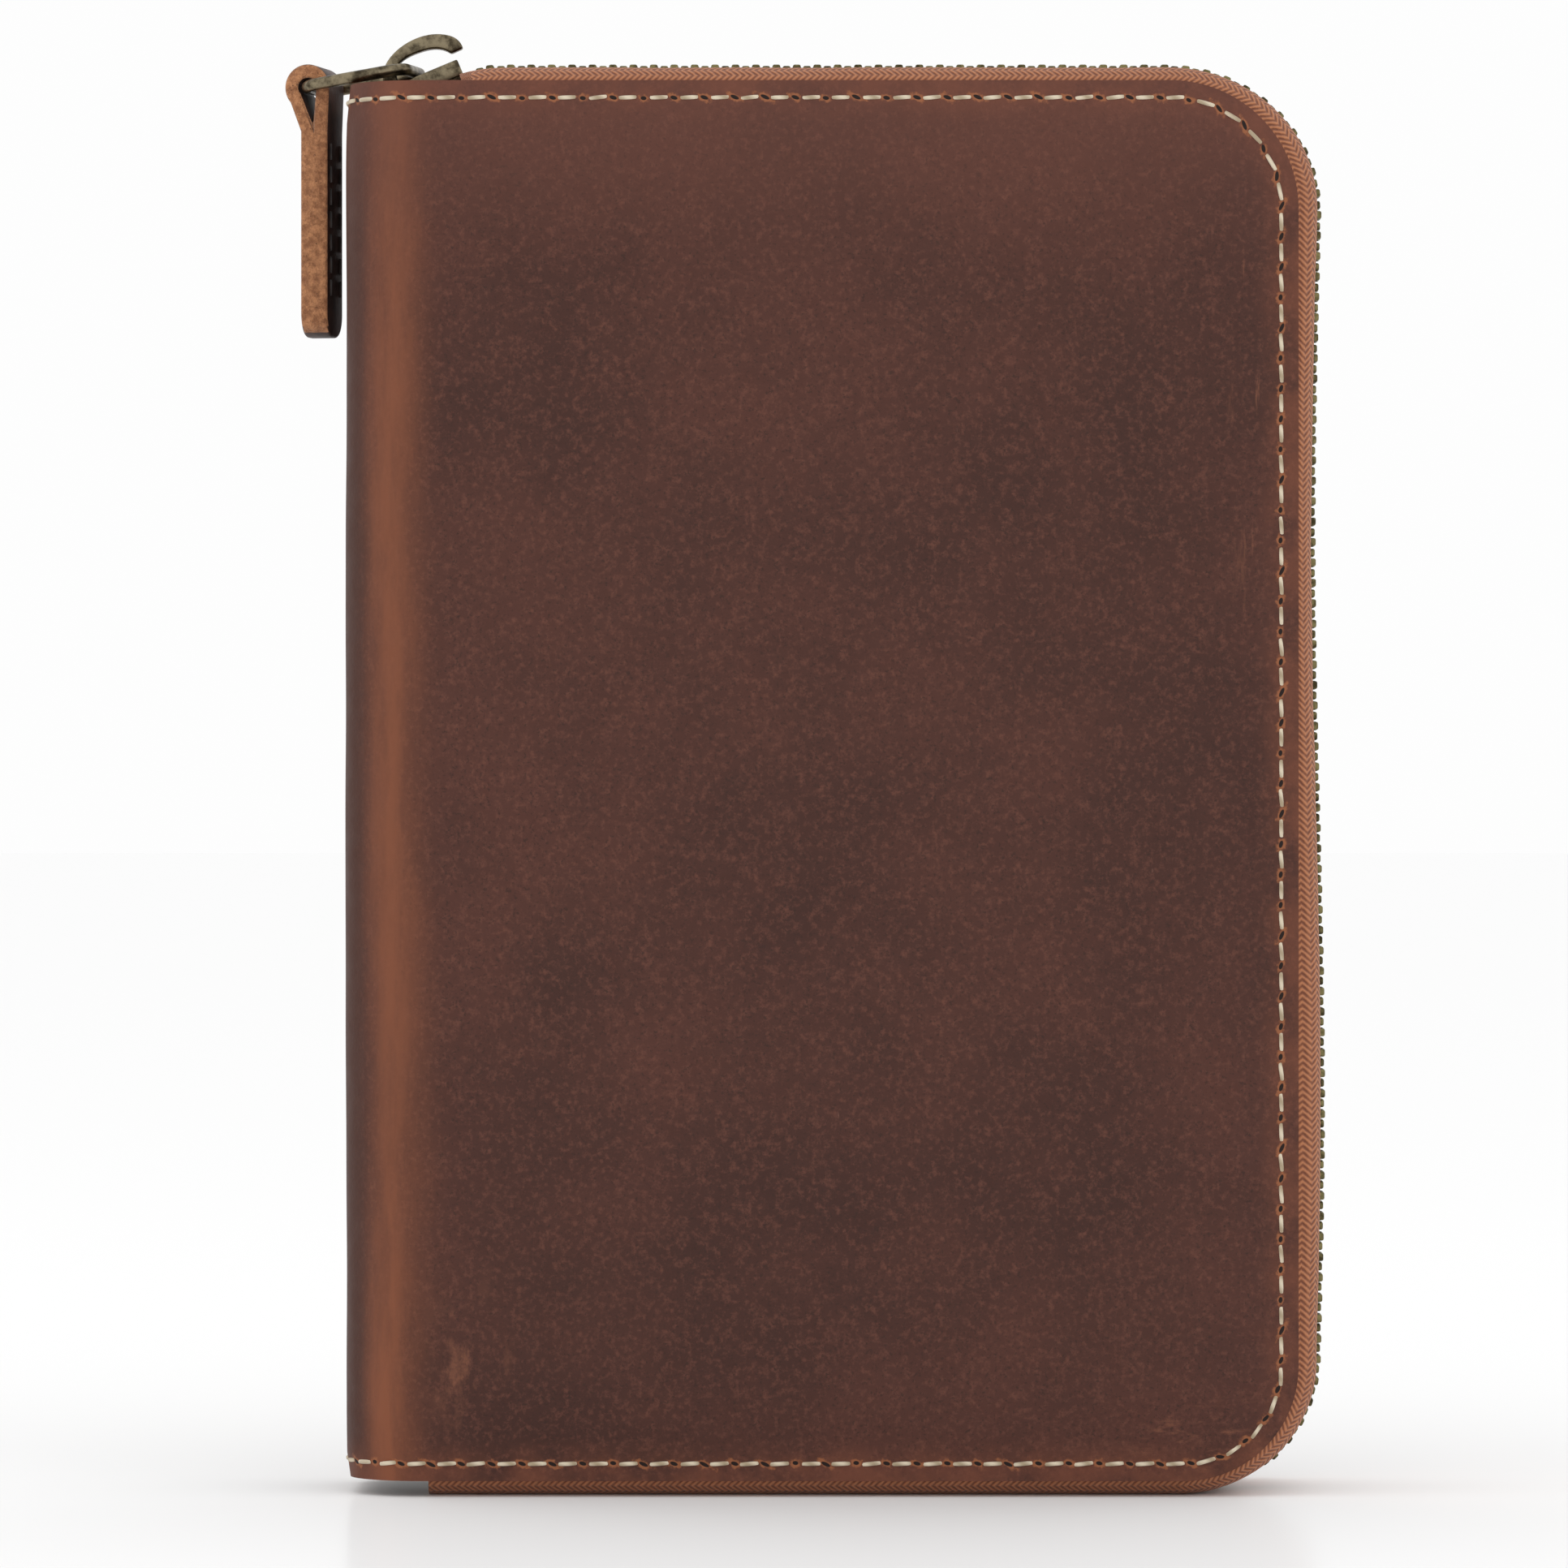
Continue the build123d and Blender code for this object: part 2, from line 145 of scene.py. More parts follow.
def new_piece(name, bm, materials, shade=True):
    """Turns a bmesh in millimetres into a finished object at the origin, with nothing below the base."""
    for vert in bm.verts:
        vert.co.z = max(vert.co.z, 0.0)
    bmesh.ops.scale(bm, vec=(MM, MM, MM), verts=bm.verts)
    mesh = bpy.data.meshes.new(name)
    bm.to_mesh(mesh)
    bm.free()
    piece = bpy.data.objects.new(name, mesh)
    bpy.context.scene.collection.objects.link(piece)
    for made in materials:
        mesh.materials.append(made)
    if shade:
        mesh.shade_smooth()
    return piece


def bake_modifiers(piece):
    """Applies a piece's modifiers to its mesh."""
    graph = bpy.context.evaluated_depsgraph_get()
    mesh = bpy.data.meshes.new_from_object(piece.evaluated_get(graph))
    piece.modifiers.clear()
    piece.data = mesh
    mesh.set_sharp_from_angle(angle=math.radians(45))


# ---------------------------------------------------------------- the hide, laid flat
def bend(s, z, h):
    """A point of the flat hide, wrapped round the case: s from the spine's middle, h outwards."""
    side = 1 if s >= 0 else -1
    a = abs(s)
    if a < SPINE_FLAT:
        return Vector((SPINE_X - h, -side * a, z))
    if a < FACE_S:
        angle = (a - SPINE_FLAT) / ROUNDING
        reach = ROUNDING + h
        return Vector((HINGE_X - reach * math.cos(angle), -side * (SPINE_FLAT + reach * math.sin(angle)), z))
    return Vector((HINGE_X + a - FACE_S, -side * (HALF_THICK + h), z))


def hide_edge(s, z):
    """Distance in from the hide's edge, and distance along its stitch line, at a flat point."""
    side = 1 if s >= 0 else -1
    a = abs(s)
    low_arc = math.pi / 2 * (LOW_CORNER - STITCH_INSET)
    top_arc = math.pi / 2 * (TOP_CORNER - STITCH_INSET)
    rise = HIGH_Z - TOP_CORNER - LOW_Z - LOW_CORNER
    side_start = EDGE_S - LOW_CORNER + low_arc
    top_start = side_start + rise + top_arc
    if a > EDGE_S - TOP_CORNER and z > HIGH_Z - TOP_CORNER:
        x, y = a - EDGE_S + TOP_CORNER, z - HIGH_Z + TOP_CORNER
        inset = TOP_CORNER - math.hypot(x, y)
        along = side_start + rise + math.atan2(y, x) * (TOP_CORNER - STITCH_INSET)
    elif a > EDGE_S - LOW_CORNER and z < LOW_Z + LOW_CORNER:
        x, y = a - EDGE_S + LOW_CORNER, LOW_Z + LOW_CORNER - z
        inset = LOW_CORNER - math.hypot(x, y)
        along = EDGE_S - LOW_CORNER + math.atan2(x, y) * (LOW_CORNER - STITCH_INSET)
    else:
        gaps = (z - LOW_Z, EDGE_S - a, HIGH_Z - z)
        inset = min(gaps)
        nearest = gaps.index(inset)
        places = (a, side_start + z - LOW_Z - LOW_CORNER, top_start + EDGE_S - TOP_CORNER - a)
        along = places[nearest]
    return inset, side * along


HALF_STITCH_LINE = hide_edge(0.001, HIGH_Z)[1]
STITCHES = round(2 * HALF_STITCH_LINE / STITCH_PITCH)
PITCH = 2 * HALF_STITCH_LINE / STITCHES

# Height of the padded leather over its board, against distance in from the edge
PAD_RISE = (
    (0.0, -0.45), (0.25, -0.15), (0.7, 0.0), (1.6, -0.02), (2.2, -0.16), (2.6, -0.28), (3.0, -0.16),
    (3.6, 0.02), (4.6, 0.26), (6.5, 0.62), (9.0, 0.95), (12.0, 1.2), (16.0, 1.35),
)


def pad_height(inset):
    """The padded height at a distance in from the edge."""
    for (d0, h0), (d1, h1) in zip(PAD_RISE, PAD_RISE[1:]):
        if inset < d1:
            return h0 + (h1 - h0) * max(inset - d0, 0) / (d1 - d0)
    return PAD_RISE[-1][1]


def hide_height(s, z):
    """Height of the hide's outer face at a flat point, with its padding and slight unevenness."""
    inset = hide_edge(s, z)[0]
    height = pad_height(inset)
    on_spine = 1 - smooth(FACE_S - 12, FACE_S + 9, abs(s))
    if height > 0:
        height *= 1 - 0.8 * on_spine
    swell = noise.noise(Vector((s / 38, z / 55, 1.7))) * 0.28
    swell += noise.noise(Vector((s / 13, z / 17, 5.1))) * 0.1
    # Drawn-in puckers between the stitches
    pucker = math.cos(hide_edge(s, z)[1] / PITCH * math.tau) * math.exp(-((inset - 3.4) / 1.3) ** 2) * 0.07
    return height + swell * smooth(2.5, 14, inset) + pucker


def flat_hide():
    """The whole hide as a flat sheet: X is s, Y is z, with rings that follow its edge."""
    bm = bmesh.new()
    corners = (
        (EDGE_S - LOW_CORNER, LOW_Z + LOW_CORNER, LOW_CORNER, -90),
        (EDGE_S - TOP_CORNER, HIGH_Z - TOP_CORNER, TOP_CORNER, 0),
        (-EDGE_S + TOP_CORNER, HIGH_Z - TOP_CORNER, TOP_CORNER, 90),
        (-EDGE_S + LOW_CORNER, LOW_Z + LOW_CORNER, LOW_CORNER, 180),
    )
    ring = []
    steps = 28
    for x, z, radius, start in corners:
        for step in range(steps + 1):
            angle = math.radians(start + 90 * step / steps)
            ring.append(bm.verts.new((x + radius * math.cos(angle), z + radius * math.sin(angle), 0)))
    face = bm.faces.new(ring)
    for (d0, _), (d1, _) in zip(PAD_RISE, PAD_RISE[1:]):
        bmesh.ops.inset_region(bm, faces=[face], thickness=d1 - d0, use_even_offset=True)
    cuts = [(s, 0) for s in range(-150, 151, 3)]
    cuts += [(s + 1.5, 0) for s in range(-30, 30, 3)]
    cuts += [(z, 1) for z in range(6, 207, 3)]
    for place, axis in cuts:
        normal = (1, 0, 0) if axis == 0 else (0, 1, 0)
        point = (place, 0, 0) if axis == 0 else (0, place, 0)
        geometry = bm.verts[:] + bm.edges[:] + bm.faces[:]
        bmesh.ops.bisect_plane(bm, geom=geometry, plane_co=point, plane_no=normal, dist=0.02)
    return bm


def wrap_hide(name, bm, materials, keep_front):
    """Keeps one side of the seam, wraps the sheet round the case and gives it its thickness."""
    geometry = bm.verts[:] + bm.edges[:] + bm.faces[:]
    bmesh.ops.bisect_plane(
        bm, geom=geometry, plane_co=(SEAM_S, 0, 0), plane_no=(1, 0, 0), dist=0.001,
        clear_inner=keep_front, clear_outer=not keep_front,
    )
    edge_map = bm.loops.layers.uv.new("edge")
    sheet_map = bm.loops.layers.uv.new("sheet")
    for face in bm.faces:
        middle = hide_edge(*face.calc_center_median().xy)[1]
        for loop in face.loops:
            s, z = loop.vert.co.xy
            inset, along = hide_edge(s, z)
            if abs(along - middle) > HALF_STITCH_LINE:
                along += math.copysign(2 * HALF_STITCH_LINE, middle)
            loop[edge_map].uv = (along / PITCH, inset / STITCH_INSET)
            loop[sheet_map].uv = (s / SHEET_UNIT, z / SHEET_UNIT)
    for vert in bm.verts:
        s, z = vert.co.xy
        vert.co = bend(s, z, hide_height(s, z))
    bmesh.ops.recalc_face_normals(bm, faces=bm.faces)
    centre = Vector((0, 0, 100))
    outwards = sum(1 if f.normal.dot(f.calc_center_median() - centre) > 0 else -1 for f in bm.faces)
    if outwards < 0:
        bmesh.ops.reverse_faces(bm, faces=bm.faces)
    piece = new_piece(name, bm, materials)
    wall = piece.modifiers.new("wall", "SOLIDIFY")
    wall.thickness = (LEATHER - 0.1) * MM
    wall.offset = -1
    wall.material_offset = 1
    wall.material_offset_rim = 2
    bake_modifiers(piece)
    return piece


# ---------------------------------------------------------------- thread
def stitch_place(index):
    """Flat place and direction of a stitch on the hide's stitch line."""
    target = (index + 0.5) * PITCH - HALF_STITCH_LINE
    side = 1 if target >= 0 else -1
    run = abs(target)
    low_arc = math.pi / 2 * (LOW_CORNER - STITCH_INSET)
    top_arc = math.pi / 2 * (TOP_CORNER - STITCH_INSET)
    rise = HIGH_Z - TOP_CORNER - LOW_Z - LOW_CORNER
    bottom = EDGE_S - LOW_CORNER
    if run < bottom:
        s, z, ds, dz = run, LOW_Z + STITCH_INSET, 1, 0
    elif run < bottom + low_arc:
        t = (run - bottom) / (LOW_CORNER - STITCH_INSET)
        radius = LOW_CORNER - STITCH_INSET
        s, z = bottom + radius * math.sin(t), LOW_Z + LOW_CORNER - radius * math.cos(t)
        ds, dz = math.cos(t), math.sin(t)
    elif run < bottom + low_arc + rise:
        s, z, ds, dz = EDGE_S - STITCH_INSET, LOW_Z + LOW_CORNER + run - bottom - low_arc, 0, 1
    elif run < bottom + low_arc + rise + top_arc:
        t = (run - bottom - low_arc - rise) / (TOP_CORNER - STITCH_INSET)
        radius = TOP_CORNER - STITCH_INSET
        s, z = EDGE_S - TOP_CORNER + radius * math.cos(t), HIGH_Z - TOP_CORNER + radius * math.sin(t)
        ds, dz = -math.sin(t), math.cos(t)
    else:
        s = EDGE_S - TOP_CORNER - (run - bottom - low_arc - rise - top_arc)
        z, ds, dz = HIGH_Z - STITCH_INSET, -1, 0
    return side * s, z, side * ds, dz


def thread(name, materials, front):
    """The stitches of the front, or of the spine and back, each a short bowed length of thread."""
    rng = random.Random(7)
    bm = bmesh.new()
    for index in range(STITCHES):
        s, z, ds, dz = stitch_place(index)
        slant = math.radians(4 + rng.uniform(-3, 3))
        drift = rng.uniform(-0.12, 0.12)
        if (s > SEAM_S) != front:
            continue
        ds, dz = ds * math.cos(slant) - dz * math.sin(slant), dz * math.cos(slant) + ds * math.sin(slant)
        first = len(bm.verts)
        made = bmesh.ops.create_cone(
            bm, cap_ends=True, segments=7, radius1=THREAD_RADIUS, radius2=THREAD_RADIUS,
            depth=THREAD_LENGTH,
        )
        spans = {e for v in made["verts"] for e in v.link_edges}
        long_edges = [e for e in spans if abs(e.verts[0].co.z - e.verts[1].co.z) > 1]
        bmesh.ops.subdivide_edges(bm, edges=long_edges, cuts=5)
        bm.verts.ensure_lookup_table()
        for vert in bm.verts[first:]:
            u = vert.co.z / (THREAD_LENGTH / 2)
            slim = 1 - 0.35 * u ** 4
            across, up = vert.co.x * slim, vert.co.y * slim * 0.85
            rs = s + ds * (vert.co.z + drift) - dz * across
            rz = z + dz * (vert.co.z + drift) + ds * across
            lift = 0.3 - 0.75 * u ** 4
            vert.co = bend(rs, rz, hide_height(s, z) + lift + up)
    return new_piece(name, bm, materials)


# ---------------------------------------------------------------- zip
def zip_stations(step):
    """Places along the zip's line: (x, z, tangent x, tangent z, distance), a step apart."""
    start_z = TAPE_TOP - (ZIP_BEND_X - ZIP_START_X) * math.tan(ZIP_SLOPE)
    trim = ZIP_BEND_RADIUS * math.tan(ZIP_SLOPE / 2)
    first = (ZIP_BEND_X - ZIP_START_X) / math.cos(ZIP_SLOPE) - trim
    top_radius, low_radius = TOP_CORNER + REACH, LOW_CORNER + REACH
    legs = (
        (first, 0.0), (ZIP_BEND_RADIUS * ZIP_SLOPE, ZIP_BEND_RADIUS),
        (TAPE_RIGHT - top_radius - ZIP_BEND_X - trim, 0.0), (top_radius * math.pi / 2, top_radius),
        (TAPE_TOP - top_radius - low_radius, 0.0), (low_radius * math.pi / 2, low_radius),
        (TAPE_RIGHT - low_radius - ZIP_START_X, 0.0),
    )
    total = sum(leg for leg, _ in legs)
    count = int(total / step)
    stations = []
    for index in range(count + 1):
        distance = index * total / count
        x, z, angle, left = ZIP_START_X, start_z, ZIP_SLOPE, distance
        for leg, radius in legs:
            run = min(left, leg)
            if radius:
                turn = run / radius
                x += radius * (math.sin(angle) - math.sin(angle - turn))
                z += radius * (math.cos(angle - turn) - math.cos(angle))
                angle -= turn
            else:
                x += run * math.cos(angle)
                z += run * math.sin(angle)
            left -= run
            if left <= 0:
                break
        stations.append((x, z, math.cos(angle), math.sin(angle), distance))
    return stations


def gusset_swell(z, tangent_z):
    """How far the gusset bellies out beyond its line: only down the fore edge, more at the foot."""
    belly = 0.6 + 0.7 * math.cos(math.pi * (z - 59) / 84)
    return belly * abs(tangent_z) ** 2 if tangent_z < -0.05 else 0.0


def zip_point(station, y, depth):
    """A point across the zip: y, and depth outwards from the tape's outer face."""
    x, z, tx, tz, _ = station
    out = depth + gusset_swell(z, tz) * smooth(-6, -1, depth)
    return Vector((x - tz * out, y, z + tx * out))


def tape_profile(side):
    """Half of the gusset in section: (y, depth) from the chain to the end of its flange."""
    inner = HALF_THICK - LEATHER - 0.1
    points = [(side * 1.0, -0.35), (side * 2.2, -0.1), (side * 3.4, 0.0)]
    points += [(side * (3.4 + (inner - GUSSET_SHOULDER - 3.4) * k / 5), 0.0) for k in range(1, 6)]
    for k in range(1, 9):
        angle = math.pi / 2 * k / 8
        y = inner - GUSSET_SHOULDER + GUSSET_SHOULDER * math.sin(angle)
        points.append((side * y, GUSSET_SHOULDER * (math.cos(angle) - 1)))
    points.append((side * inner, -GUSSET_FLANGE))
    return points


def zip_tape(name, side, materials):
    """One woven tape, drawn along the zip's line and given its thickness."""
    bm = bmesh.new()
    stations = zip_stations(1.6)
    profile = tape_profile(side)
    if side < 0:
        stations = [st for st in stations if st[0] > HINGE_X + FRONT_TAPE_GAP or st[1] < 40]
    lengths = [0.0]
    for (y0, d0), (y1, d1) in zip(profile, profile[1:]):
        lengths.append(lengths[-1] + math.hypot(y1 - y0, d1 - d0))
    weave_map = bm.loops.layers.uv.new("weave")
    row = [bm.verts.new(zip_point(stations[0], y, d)) for y, d in profile]
    edges = [bm.edges.new(pair) for pair in zip(row, row[1:])]
    place = {v: (0.0, length) for v, length in zip(row, lengths)}
    for station in stations[1:]:
        grown = bmesh.ops.extrude_edge_only(bm, edges=edges)["geom"]
        fresh = [g for g in grown if isinstance(g, bmesh.types.BMVert)]
        order = {round(place[v][1], 4): i for i, v in enumerate(row)}
        by_old = {}
        for vert in fresh:
            for edge in vert.link_edges:
                old = edge.other_vert(vert)
                if old in place and old in row:
                    by_old[order[round(place[old][1], 4)]] = vert
        row = [by_old[i] for i in range(len(profile))]
        for vert, (y, d), length in zip(row, profile, lengths):
            ripple = 0.12 * noise.noise(Vector((station[4] / 9, y / 4, 3.3))) * smooth(-5, -1, d)
            limit = 0.0 if station[3] > -0.05 and station[1] < 5 else 1.0
            vert.co = zip_point(station, y, d + ripple * limit)
            place[vert] = (station[4], length)
        edges = [bm.edges.get(pair) for pair in zip(row, row[1:])]
    for face in bm.faces:
        for loop in face.loops:
            distance, length = place[loop.vert]
            loop[weave_map].uv = (distance / WEAVE_UNIT, length / WEAVE_UNIT)
    bmesh.ops.recalc_face_normals(bm, faces=bm.faces)
    if sum(f.normal.z * (1 if f.calc_center_median().z > 100 else -1) for f in bm.faces) < 0:
        bmesh.ops.reverse_faces(bm, faces=bm.faces)
    piece = new_piece(name, bm, materials)
    wall = piece.modifiers.new("wall", "SOLIDIFY")
    wall.thickness = (TAPE - 0.1) * MM
    wall.offset = -1
    bake_modifiers(piece)
    return piece


def zip_teeth(name, side, materials):
    """One row of cast teeth, each a rounded block that reaches between two of the other row."""
    bm = bmesh.new()
    stations = zip_stations(TOOTH_PITCH / 2)
    parity = 0 if side < 0 else 1
    for index, station in enumerate(stations):
        x, z, tx, tz, distance = station
        if index % 2 != parity or x < HINGE_X + TEETH_START and z > 100 or x < ZIP_START_X + 4:
            continue
        made = bmesh.ops.create_cube(bm, size=1)
        outer = 0.0 if z < 4 else TOOTH_STANDS
        for vert in made["verts"]:
            along = vert.co.x * TOOTH_LONG
            y = side * (1.25 + vert.co.y * TOOTH_WIDE)
            depth = outer - 1.3 + vert.co.z * TOOTH_TALL
            narrow = 0.85 if vert.co.y * side < 0 else 1.0
            vert.co = zip_point(station, y, depth) + Vector((tx, 0, tz)) * along * narrow
    bmesh.ops.bevel(
        bm, geom=bm.edges[:], offset=0.26, segments=2, profile=0.5, affect="EDGES", material=-1
    )
    bmesh.ops.recalc_face_normals(bm, faces=bm.faces)
    return new_piece(name, bm, materials)


# ---------------------------------------------------------------- hard fittings and the pull
def softened(node, name, width, materials, segments=2, angle=28, keep=None):
    """A copy of a CAD node, merged and with its sharp edges rounded."""
    bm = bmesh.new()
    bm.from_mesh(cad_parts[node].data)
    bmesh.ops.scale(bm, vec=(1 / MM, 1 / MM, 1 / MM), verts=bm.verts)
    bmesh.ops.remove_doubles(bm, verts=bm.verts, dist=0.002)
    bmesh.ops.dissolve_limit(bm, angle_limit=math.radians(1.5), verts=bm.verts, edges=bm.edges)
    sharp = [e for e in bm.edges if len(e.link_faces) == 2 and e.calc_face_angle() > math.radians(angle)]
    bmesh.ops.bevel(
        bm, geom=sharp, offset=width, segments=segments, profile=0.5, affect="EDGES",
        material=-1, clamp_overlap=True,
    )
    if keep:
        keep(bm)
    return new_piece(name, bm, materials)


# ---------------------------------------------------------------- leathers
def pull_up_leather():
    """Waxed pull-up cowhide, drum-dyed and oiled: dark where flat, paler where it is rubbed; on the spine's
    rounding a paler band, partly from bending and partly a painted highlight, with painted shade on the
    spine and in the stitch holes.
    """
    made, tree, shader = material("pull_up_cowhide", Roughness=0.6, Specular_IOR_Level=0.24)
    place = add(tree, "TexCoord", out="Object")
    sheet = add(tree, "SeparateXYZ", (add(tree, "UVMap", uv_map="sheet"),)).node.outputs
    edge = add(tree, "SeparateXYZ", (add(tree, "UVMap", uv_map="edge"),)).node.outputs
    s = add(tree, "Math", (sheet[0], SHEET_UNIT), operation="MULTIPLY")
    z = add(tree, "Math", (sheet[1], SHEET_UNIT), operation="MULTIPLY")

    def mottle(size, stretch=(1, 1, 1), detail=4.0, rough=0.6):
        """Uneven oil and wax in patches of this size, drawn out along the hide where it is stretched."""
        drawn = add(tree, "Mapping", {"Vector": place, "Scale": stretch}, vector_type="POINT")
        return add(
            tree, "TexNoise", {"Vector": drawn, "Scale": per_mm(size), "Detail": detail, "Roughness": rough},
            out="Fac",
        )

    def spot(x0, width, z0, height):
        """A soft patch centred on the front at this x and z."""
        ds = add(
            tree, "Math", (add(tree, "Math", (s, x0 - HINGE_X + FACE_S), operation="SUBTRACT"), width),
            operation="DIVIDE",
        )
        dz = add(
            tree, "Math", (add(tree, "Math", (z, z0), operation="SUBTRACT"), height), operation="DIVIDE",
        )
        far = add(
            tree, "Math", (
                add(tree, "Math", (ds, ds), operation="MULTIPLY"),
                add(tree, "Math", (dz, dz), operation="MULTIPLY"),
            ),
            operation="ADD",
        )
        return add(
            tree, "Math", (add(tree, "Math", (far, -1.0), operation="MULTIPLY"),), operation="EXPONENT",
        )

    # Broad clouds, then fine mottle and pores
    colour = add(
        tree, "Mix", {
            0: add(tree, "MapRange", (mottle(34), 0.3, 0.72), interpolation_type="SMOOTHSTEP"),
            6: "#40251E",
            7: "#502E25",
        },
        out=2, data_type="RGBA",
    )
    light = add(
        tree, "MapRange", (mottle(0.9, detail=4.0, rough=0.7), 0.45, 0.75, 0.0, 0.7),
        interpolation_type="SMOOTHSTEP",
    )
    colour = add(tree, "Mix", {0: light, 6: colour, 7: "#6C4235"}, out=2, data_type="RGBA")
    dark = add(
        tree, "MapRange", (mottle(0.5, detail=2.0), 0.55, 0.72, 0.0, 0.65), interpolation_type="SMOOTHSTEP",
    )
    colour = add(tree, "Mix", {0: dark, 6: colour, 7: "#33201A"}, out=2, data_type="RGBA")

    # Paler, warmer bands on the rounding of the spine: partly the pull-up paling of the bent hide, partly a
    # painted highlight; beyond them the spine is painted darker, as painted shade
    wander = add(
        tree, "Math",
        (add(tree, "Math", (mottle(16, (1, 1, 0.35), 6.0, 0.7), 0.5), operation="SUBTRACT"), 7.0),
        operation="MULTIPLY",
    )
    bent = add(tree, "Math", (add(tree, "Math", (s,), operation="ABSOLUTE"), wander), operation="ADD")
    off = add(
        tree, "Math", (add(tree, "Math", (bent, FACE_S - 4.6), operation="SUBTRACT"), 4.0),
        operation="DIVIDE",
    )
    band = add(
        tree, "Math", (
            add(
                tree, "Math", (add(tree, "Math", (off, off), operation="MULTIPLY"), -1.0),
                operation="MULTIPLY",
            ),
        ),
        operation="EXPONENT",
    )
    grain = add(
        tree, "MapRange", (mottle(5, (1, 1, 0.16), 6.0, 0.7), 0.3, 0.62), interpolation_type="SMOOTHSTEP",
    )
    foot = add(tree, "MapRange", (z, 60.0, 8.0), interpolation_type="SMOOTHSTEP")
    strength = add(
        tree, "Math", (band, add(tree, "Math", (grain, 0.35, 0.5), operation="MULTIPLY_ADD")),
        operation="MULTIPLY",
    )
    strength = add(
        tree, "Math", (strength, add(tree, "Math", (foot, 0.3, 1.0), operation="MULTIPLY_ADD")),
        operation="MULTIPLY",
    )
    # Paler band on the rounding: pull-up paling and a painted highlight together
    colour = add(tree, "Mix", {0: strength, 6: colour, 7: "#824C33"}, out=2, data_type="RGBA")
    # Painted shade: the spine and the inner part of its rounding are painted darker
    spine = add(
        tree, "MapRange", (add(tree, "Math", (s,), operation="ABSOLUTE"), FACE_S - 7.5, FACE_S - 12.0),
        interpolation_type="SMOOTHSTEP",
    )
    colour = add(
        tree, "Mix", {0: add(tree, "Math", (spine, 0.85), operation="MULTIPLY"), 6: colour, 7: "#432215"},
        out=2, data_type="RGBA",
    )

    # Warmth towards the rim, rubs and creases
    inset = add(tree, "Math", (edge[1], STITCH_INSET), operation="MULTIPLY")
    rim = add(tree, "MapRange", (inset, 7.0, 1.0, 0.0, 0.55), interpolation_type="SMOOTHSTEP")
    colour = add(
        tree, "Mix", {
            0: add(
                tree, "Math",
                (rim, add(tree, "MapRange", (mottle(7), 0.25, 0.7), interpolation_type="SMOOTHSTEP")),
                operation="MULTIPLY",
            ),
            6: colour,
            7: "#7C4833",
        },
        out=2, data_type="RGBA",
    )
    top_warm = add(tree, "MapRange", (z, 180.0, 208.0, 0.0, 0.35), interpolation_type="SMOOTHSTEP")
    colour = add(tree, "Mix", {0: top_warm, 6: colour, 7: "#6E4336"}, out=2, data_type="RGBA")
    crease = add(
        tree, "MapRange", (mottle(2.2, (1, 1, 0.12), 6.0, 0.7), 0.56, 0.68), interpolation_type="SMOOTHSTEP",
    )
    rubs = add(tree, "Math", (spot(64, 3.6, 162, 30), crease), operation="MULTIPLY")
    low_rubs = add(
        tree, "Math", (
            spot(-52, 5, 20, 9),
            add(
                tree, "MapRange", (mottle(3.0, (0.6, 1, 0.3), 6.0, 0.7), 0.5, 0.66),
                interpolation_type="SMOOTHSTEP",
            ),
        ),
        operation="MULTIPLY",
    )
    scuffs = add(
        tree, "Math", (
            spot(56, 9, 9, 5),
            add(
                tree, "MapRange", (mottle(2.0, (0.3, 1, 1), 6.0, 0.7), 0.52, 0.66),
                interpolation_type="SMOOTHSTEP",
            ),
        ),
        operation="MULTIPLY",
    )
    wear = add(
        tree, "Math", (add(tree, "Math", (rubs, low_rubs), operation="ADD"), scuffs), operation="ADD",
    )
    colour = add(
        tree, "Mix", {0: add(tree, "Math", (wear, 0.45), operation="MULTIPLY"), 6: colour, 7: "#9A6248"},
        out=2, data_type="RGBA",
    )
    scratch = add(
        tree, "MapRange", (mottle(1.1, (1, 1, 0.2), 6.0, 0.7), 0.69, 0.77, 0.0, 0.35),
        interpolation_type="SMOOTHSTEP",
    )
    colour = add(tree, "Mix", {0: scratch, 6: colour, 7: "#8A5F52"}, out=2, data_type="RGBA")

    # Punched stitch holes with torn paler fibre round them; the holes are painted near-black, as painted
    # shade
    phase = add(
        tree, "Math",
        (add(tree, "Math", (add(tree, "Math", (edge[0], 0.5), operation="ADD"),), operation="FRACT"), 0.5),
        operation="SUBTRACT",
    )
    along = add(tree, "Math", (phase, PITCH), operation="MULTIPLY")
    number = add(tree, "Math", (add(tree, "Math", (edge[0], 0.5), operation="ADD"),), operation="FLOOR")
    chance = add(tree, "TexWhiteNoise", {"W": number}, out="Value", noise_dimensions="1D")
    lean = add(tree, "Math", (chance, 0.4, 0.05), operation="MULTIPLY_ADD")
    across = add(
        tree, "Math", (
            add(tree, "Math", (inset, STITCH_INSET + 0.12), operation="SUBTRACT"),
            add(tree, "Math", (chance, 0.24), operation="MULTIPLY"),
        ),
        operation="ADD",
    )
    slanted = add(
        tree, "Math", (across, add(tree, "Math", (along, lean), operation="MULTIPLY")), operation="ADD",
    )
    long_part = add(
        tree, "Math", (along, add(tree, "Math", (chance, 0.3, 0.42), operation="MULTIPLY_ADD")),
        operation="DIVIDE",
    )
    wide_part = add(tree, "Math", (slanted, 0.3), operation="DIVIDE")
    near = add(
        tree, "Math", (
            add(
                tree, "Math", (
                    add(tree, "Math", (long_part, long_part), operation="MULTIPLY"),
                    add(tree, "Math", (wide_part, wide_part), operation="MULTIPLY"),
                ),
                operation="ADD",
            ),
        ),
        operation="SQRT",
    )
